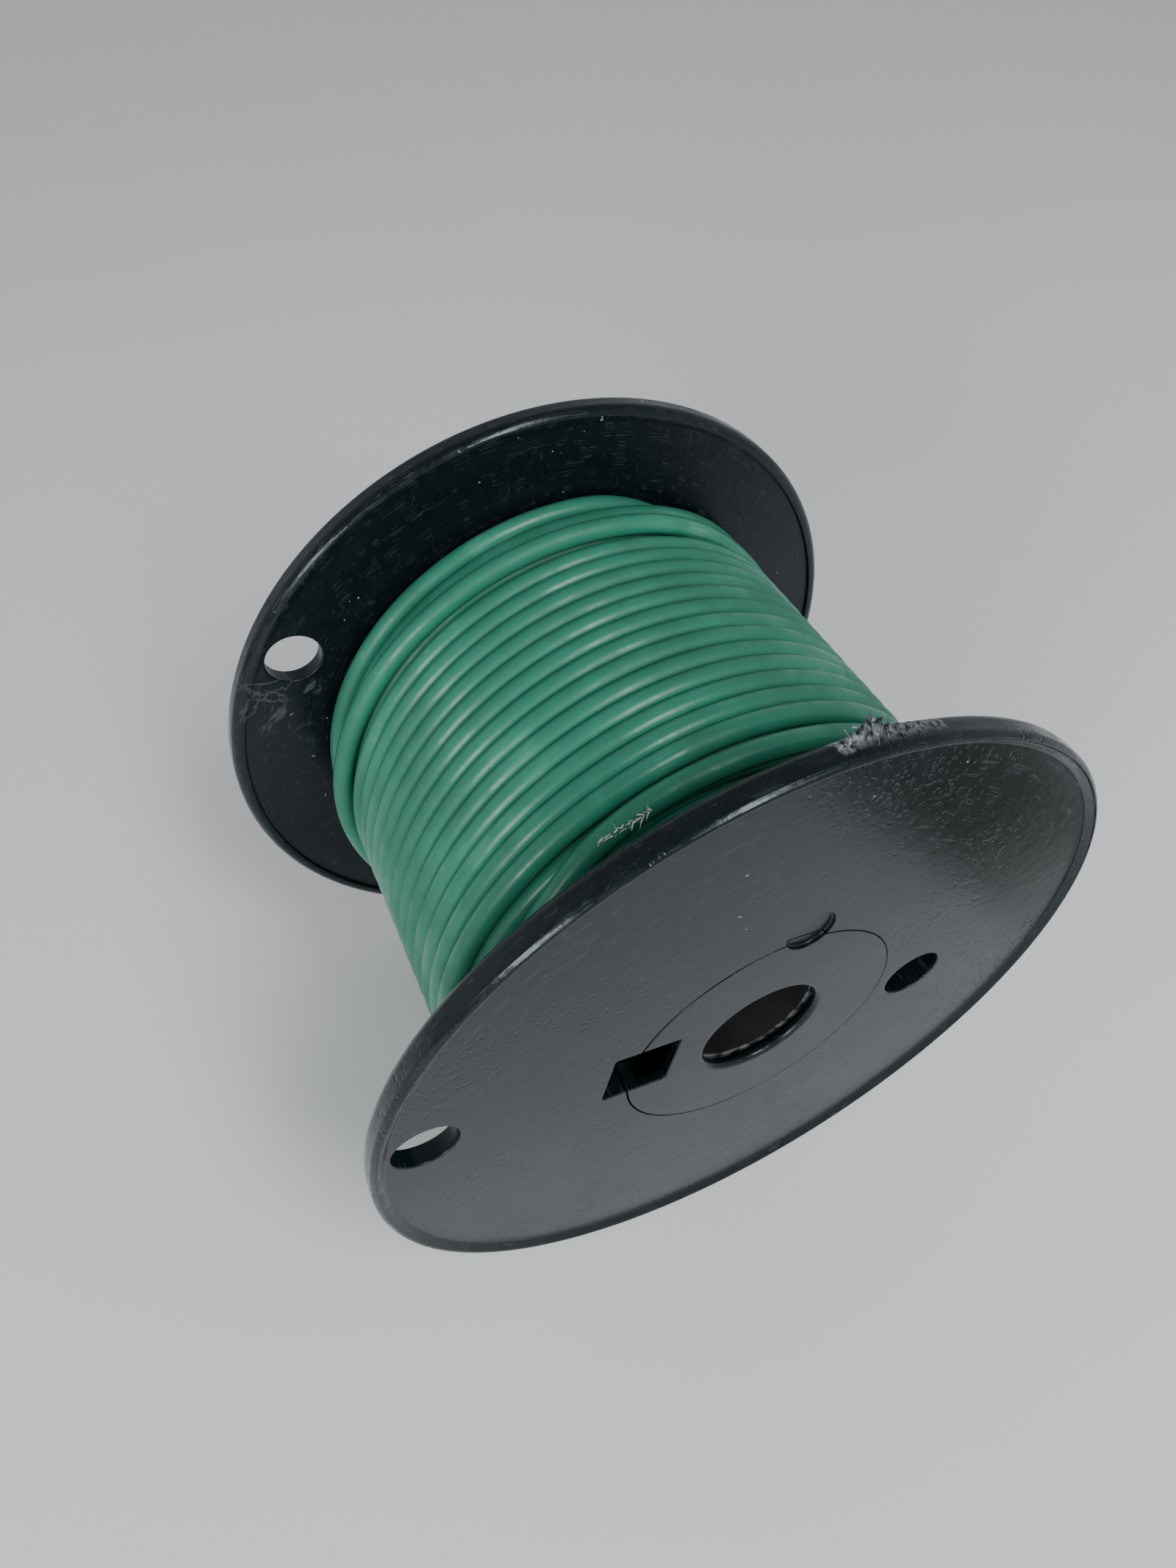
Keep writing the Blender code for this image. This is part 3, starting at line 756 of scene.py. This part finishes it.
def bare_strands():
    """Strands on rings of 1, 6 and 12: each one's centre runs forward with its ring's radius
    turning by 100 degrees over the bare length, and it is a circle of STRAND_RADIUS."""
    end = math.radians(7192)
    low_corner, high_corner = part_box("tail_conductor")
    middle = (np.array(low_corner) + np.array(high_corner)) / 2
    along = np.array((-math.sin(end), 0, math.cos(end)))
    outward = np.array((math.cos(end), 0, math.sin(end)))
    side = np.cross(along, outward)
    step = np.linspace(-BARE_LENGTH / 2 - 0.25 * MM, BARE_LENGTH / 2, 24)
    t = 2 * math.pi * np.arange(8) / 8
    skins = []
    for count, ring in ((1, 0), (6, 2 * STRAND_RADIUS), (12, 3.9 * STRAND_RADIUS)):
        for k in range(count):
            turn = 2 * math.pi * k / count + np.linspace(0, math.radians(100), len(step))
            line = (middle + step[:, None] * along + ring * np.cos(turn)[:, None] * outward
                    + ring * np.sin(turn)[:, None] * side)
            skins.append(line[:, None] + STRAND_RADIUS * (np.cos(t)[:, None] * outward
                                                          + np.sin(t)[:, None] * side))
    return skins


core = add_piece("bare_copper", grid_mesh("bare_copper", bare_strands(), closed=False))
finish_piece(core, copper(), "copper_strands", "tail_conductor")

# --- Shreds at the tear --------------------------------------------------------------------
# Curled slivers of plastic still hang on to the torn fin of the near rim, pale where the
# plastic was stretched.  Finer cream fibres are frayed up where the last turn was scuffed.
SHREDS, SHRED_SEED = 30, 7
FIBRES, FIBRE_SEED = 70, 3
SCUFF = (math.radians(106), math.radians(116))
SCUFF_RADIUS, SCUFF_ACROSS = 36.35 * MM, -20.9 * MM
FIN_DEPTH = 2.75 * MM


def sliver(root, outward, flat, length, width, lift, curl):
    """A curled sliver: it leaves its root tilted up by lift and bends along a circle, its
    section a flat diamond whose width falls to nothing at the tip."""
    side = np.cross(flat, outward)
    share = np.linspace(0, 1, 9)
    tilt = lift + curl * share
    run = np.append(0, np.cumsum((np.cos(tilt) * length / 8)[:-1]))
    rise = np.append(0, np.cumsum((np.sin(tilt) * length / 8)[:-1]))
    line = root + run[:, None] * flat + rise[:, None] * outward
    half = (width * (1 - share) ** 0.6 + 0.012 * MM)[:, None]
    thin = 0.3 * half
    normal = np.cos(tilt)[:, None] * outward - np.sin(tilt)[:, None] * flat
    return np.stack([line + half * side, line + thin * normal, line - half * side,
                     line - thin * normal], axis=1)


def rim_place(angle, radius, across):
    """A point on a circle round the axis, with the outward and the onward direction there."""
    outward = np.array((math.cos(angle), 0, math.sin(angle)))
    onward = np.array((-math.sin(angle), 0, math.cos(angle)))
    return radius * outward + np.array((0, across, AXIS_HEIGHT)), outward, onward


def shred(rng):
    """A sliver of the torn fin, nearest its peak."""
    angle = math.radians(np.clip(rng.normal(82.2, 1.7), 75.0, 85.4))
    height = fin_height(angle) * rng.uniform(0.2, 0.75)
    depth = FIN_DEPTH + rng.uniform(-0.5, 0.6) * MM
    root, outward, onward = rim_place(angle, FLANGE_RADIUS - 0.25 * MM + height,
                                      depth - HALF_LENGTH)
    heading = rng.uniform(-1.2, 1.2)
    flat = math.cos(heading) * onward + math.sin(heading) * np.array((0, 1, 0))
    return sliver(root, outward, flat, rng.uniform(0.5, 1.5) * MM, rng.uniform(0.06, 0.2) * MM,
                  rng.uniform(0.3, 1.0), rng.uniform(-1.5, 0.4))


def fibre(rng):
    """A frayed fibre on the near flank of the last close turn."""
    root, outward, onward = rim_place(rng.uniform(*SCUFF),
                                      SCUFF_RADIUS + rng.uniform(-0.2, 0.45) * MM,
                                      SCUFF_ACROSS + rng.uniform(-0.3, 0.3) * MM)
    heading = rng.uniform(-0.9, 0.9)
    flat = math.cos(heading) * onward + math.sin(heading) * np.array((0, -1, 0))
    return sliver(root, outward, flat, rng.uniform(0.4, 1.3) * MM,
                  rng.uniform(0.03, 0.09) * MM, rng.uniform(-0.2, 0.8), rng.uniform(-1.6, 1.6))


def shred_plastic():
    made, tree, shader = start_material("stretched_plastic")
    where = add_node(tree, "ShaderNodeTexCoord")
    noise = add_node(tree, "ShaderNodeTexNoise",
                     {"Vector": where.outputs["Object"], "Scale": 900.0, "Detail": 3.0})
    colour = mix_colours(tree, ramp(tree, noise.outputs["Fac"], 0.35, 0.62),
                         (0.020, 0.024, 0.028, 1.0), (0.50, 0.53, 0.55, 1.0))
    tree.links.new(colour, shader.inputs["Base Color"])
    shader.inputs["Roughness"].default_value = 0.5
    return made


def add_slivers(name, make, count, seed, material):
    rng = np.random.default_rng(seed)
    made = add_piece(name, grid_mesh(name, [make(rng) for _ in range(count)], closed=False))
    made.data.materials.append(material)
    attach(made, "root")


def frayed_vinyl():
    made, tree, shader = start_material("frayed_vinyl")
    shader.inputs["Base Color"].default_value = (0.72, 0.74, 0.60, 1.0)
    shader.inputs["Roughness"].default_value = 0.6
    return made


add_slivers("rim_shreds", shred, SHREDS, SHRED_SEED, shred_plastic())
add_slivers("scuffed_fibres", fibre, FIBRES, FIBRE_SEED, frayed_vinyl())

# --- Floor, lights and camera --------------------------------------------------------------
# The spool lies on a plain pale surface.  The room round it is evenly bright and dimmer
# overhead, and two long lights in front put the bright patches on the turns and the bead.
AIM = (0, 0, AXIS_HEIGHT)


def floor_finish():
    made, tree, shader = start_material("pale_floor")
    where = add_node(tree, "ShaderNodeTexCoord")
    noise = add_node(tree, "ShaderNodeTexNoise",
                     {"Vector": where.outputs["Object"], "Scale": 9.0, "Detail": 4.0})
    tree.links.new(mix_colours(tree, noise.outputs["Fac"], (0.86, 0.87, 0.88, 1.0),
                               (0.90, 0.905, 0.91, 1.0)), shader.inputs["Base Color"])
    shader.inputs["Roughness"].default_value = 0.7
    return made


floor_mesh = bpy.data.meshes.new("floor")
FLOOR_HALF = 2.5
floor_mesh.from_pydata([(x * FLOOR_HALF, y * FLOOR_HALF, 0)
                        for x, y in ((-1, -1), (1, -1), (1, 1), (-1, 1))], [], [(0, 1, 2, 3)])
floor = bpy.data.objects.new("floor", floor_mesh)
bpy.context.scene.collection.objects.link(floor)
floor_mesh.materials.append(floor_finish())

world = bpy.data.worlds.new("soft_room")
world.use_nodes = True
world.node_tree.nodes["Background"].inputs["Color"].default_value = (0.93, 0.96, 1.0, 1.0)
ROOM_STRENGTH, OVERHEAD_LOSS = 0.72, 0.42
sky = add_node(world.node_tree, "ShaderNodeTexCoord")
level = add_node(world.node_tree, "ShaderNodeSeparateXYZ", {0: sky.outputs["Generated"]})
overhead = ramp(world.node_tree, level.outputs[2], 0.15, 0.9)
dimmed = math_node(world.node_tree, "MULTIPLY_ADD", overhead, -OVERHEAD_LOSS, ROOM_STRENGTH)
world.node_tree.links.new(dimmed, world.node_tree.nodes["Background"].inputs["Strength"])
bpy.context.scene.world = world


def area_light(name, direction, distance, length, width, power):
    """A rectangular light at a distance along a direction from the spool's middle, facing it,
    with its length along the spool's axis made square to that direction."""
    lamp = bpy.data.lights.new(name, "AREA")
    lamp.shape = "RECTANGLE"
    lamp.size = length
    lamp.size_y = width
    lamp.energy = power
    made = bpy.data.objects.new(name, lamp)
    away = np.array(direction) / np.linalg.norm(direction)
    along = np.array((0, 1, 0)) - away[1] * away
    along /= np.linalg.norm(along)
    turn = Matrix(np.stack([along, np.cross(away, along), away], axis=1).tolist())
    made.rotation_euler = turn.to_euler()
    made.location = np.array(AIM) + distance * away
    bpy.context.scene.collection.objects.link(made)


LIGHT_DISTANCE = 0.7
area_light("window_left", (-0.684, -0.641, 0.356), LIGHT_DISTANCE, 0.36, 0.16, 2.3)
area_light("window_front", (0.17, -0.65, 0.74), LIGHT_DISTANCE, 0.40, 0.14, 2.6)

# A dark flag lies on the floor in front, and shows only as a reflection in the glossy face
FLAG = ((54, -125), (118, -125), (108, -62), (73, -58), (62, -85))
FLAG_LIFT = 0.2 * MM
flag_mesh = bpy.data.meshes.new("flag")
flag_mesh.from_pydata([(x * MM, y * MM, FLAG_LIFT) for x, y in FLAG], [], [(0, 1, 2, 3, 4)])
flag_finish, _, flag_shader = start_material("dark_flag")
flag_shader.inputs["Base Color"].default_value = (0.045, 0.028, 0.008, 1.0)
flag_shader.inputs["Roughness"].default_value = 0.9
flag_mesh.materials.append(flag_finish)
flag = bpy.data.objects.new("flag", flag_mesh)
bpy.context.scene.collection.objects.link(flag)
flag.visible_camera = False
flag.visible_diffuse = False
flag.visible_shadow = False
flag.visible_transmission = False

CAMERA_HEADING, CAMERA_DIP = math.radians(25.61), math.radians(47.86)
camera_data = bpy.data.cameras.new("camera")
camera_data.sensor_width = 36.0
camera_data.lens = 24.385
camera_data.shift_x = -0.0104
camera_data.shift_y = -0.0309
camera_data.clip_start = 0.01
camera = bpy.data.objects.new("camera", camera_data)
camera.location = (-45.15 * MM, -82.45 * MM, AXIS_HEIGHT + 124.97 * MM)
camera.rotation_euler = (math.pi / 2 - CAMERA_DIP, 0, -CAMERA_HEADING)
bpy.context.scene.collection.objects.link(camera)
bpy.context.scene.camera = camera
